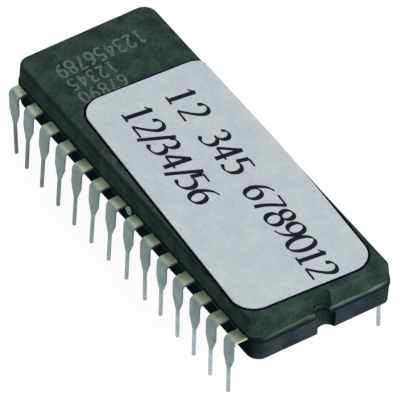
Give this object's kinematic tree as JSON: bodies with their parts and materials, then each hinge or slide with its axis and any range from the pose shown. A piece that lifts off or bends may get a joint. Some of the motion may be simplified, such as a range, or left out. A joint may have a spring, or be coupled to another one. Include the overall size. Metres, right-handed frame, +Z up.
{
  "type": "windowed ceramic memory chip",
  "caption": "Windowed ceramic dual in-line memory chip with two rows of bent leads, a notched end and a skewed paper label.",
  "frame": {"origin": "midway between the two rows of legs and the body's two ends, on the plane of the lead tips", "axes": "+X along the body towards the notched end, +Y towards the row of leads 1 to 14, +Z up out of the label"},
  "size_m": [0.0364, 0.0156, 0.0083],
  "materials": {
    "black_ceramic": "matt pressed",
    "sealing_glass": "fired frit",
    "window_glass": "clear",
    "die_attach": "fired metal-filled glass",
    "silicon": "polished",
    "bond_wire": "drawn",
    "label_paper": "uncoated",
    "lead_alloy": "dull tin plate"
  },
  "bodies": {
    "root": {"ceramic_base": "black_ceramic", "ceramic_cap": "black_ceramic", "seal_glass": "sealing_glass", "window": "window_glass", "die_attach": "die_attach", "die": "silicon", "bond_wires": "bond_wire", "label": "label_paper", "lead_01": "lead_alloy", "lead_02": "lead_alloy", "lead_03": "lead_alloy", "lead_04": "lead_alloy", "lead_05": "lead_alloy", "lead_06": "lead_alloy", "lead_07": "lead_alloy", "lead_08": "lead_alloy", "lead_09": "lead_alloy", "lead_10": "lead_alloy", "lead_11": "lead_alloy", "lead_12": "lead_alloy", "lead_13": "lead_alloy", "lead_14": "lead_alloy", "lead_15": "lead_alloy", "lead_16": "lead_alloy", "lead_17": "lead_alloy", "lead_18": "lead_alloy", "lead_19": "lead_alloy", "lead_20": "lead_alloy", "lead_21": "lead_alloy", "lead_22": "lead_alloy", "lead_23": "lead_alloy", "lead_24": "lead_alloy", "lead_25": "lead_alloy", "lead_26": "lead_alloy", "lead_27": "lead_alloy", "lead_28": "lead_alloy"}
  },
  "joints": []
}
